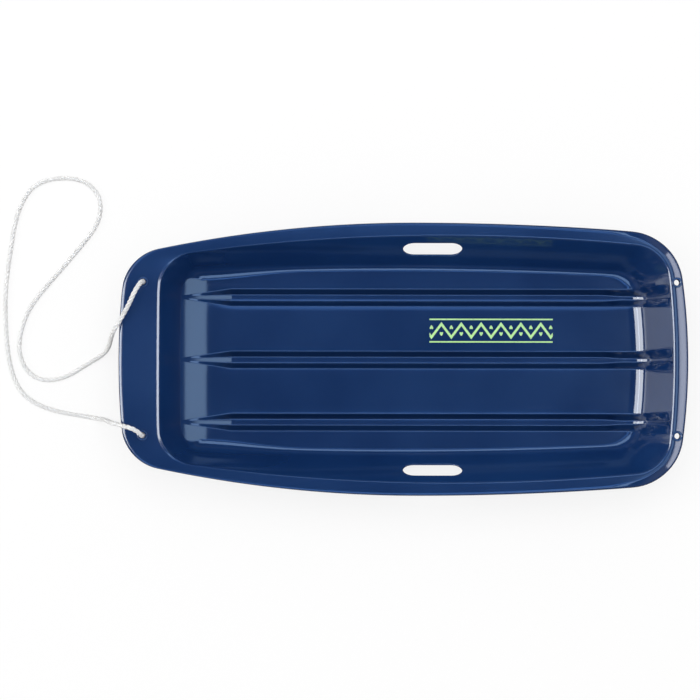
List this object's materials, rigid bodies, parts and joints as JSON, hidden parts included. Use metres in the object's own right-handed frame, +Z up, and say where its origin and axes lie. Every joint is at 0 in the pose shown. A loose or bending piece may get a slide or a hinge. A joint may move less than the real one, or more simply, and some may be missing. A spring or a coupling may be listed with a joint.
{
  "type": "toboggan",
  "caption": "Child's one-piece moulded plastic toboggan: a shallow tub on moulded runners with hand slots, an upturned front, rope eyes and a twisted tow rope.",
  "frame": {"origin": "on the ground under the middle of the hull's outline, on its plane of symmetry", "axes": "+X towards the rear, away from the tow end; +Y towards the sled's left seen from above with the tow end at the left of the view; +Z up"},
  "size_m": [1.0263, 0.48, 0.1163],
  "materials": {
    "hull_plastic": "glossy dark blue moulded plastic",
    "rope_fibre": "white three-strand twisted rope"
  },
  "bodies": {
    "root": {"hull": "hull_plastic", "tow_rope": "rope_fibre", "knot_left": "rope_fibre", "knot_right": "rope_fibre"}
  },
  "joints": []
}
